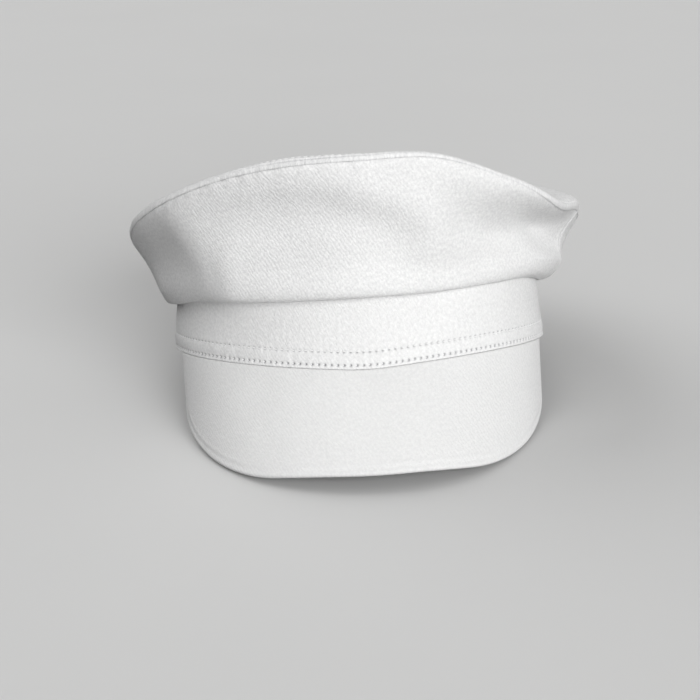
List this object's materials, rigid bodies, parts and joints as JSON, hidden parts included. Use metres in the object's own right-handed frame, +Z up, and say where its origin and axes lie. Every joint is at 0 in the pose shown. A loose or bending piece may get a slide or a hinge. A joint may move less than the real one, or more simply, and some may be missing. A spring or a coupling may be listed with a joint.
{
  "type": "sailor cap",
  "caption": "White cloth cap with a wide soft crown, a plain band with two rows of stitches and a stiff rounded peak.",
  "frame": {"origin": "on the table, under the middle of the cap's bounding box", "axes": "+Z up from the table, -Y towards the front where the peak points, +X to the right of someone who faces the cap"},
  "size_m": [0.2318, 0.2648, 0.1427],
  "materials": {
    "crown_cloth": "matt white cotton twill, softly creased",
    "band_cloth": "matt white cotton twill, pressed smooth",
    "peak_cloth": "matt white cotton twill stretched over a stiff board"
  },
  "bodies": {
    "root": {"crown_top": "crown_cloth", "crown_front": "crown_cloth", "crown_back": "crown_cloth", "band": "band_cloth", "peak": "peak_cloth"}
  },
  "joints": []
}
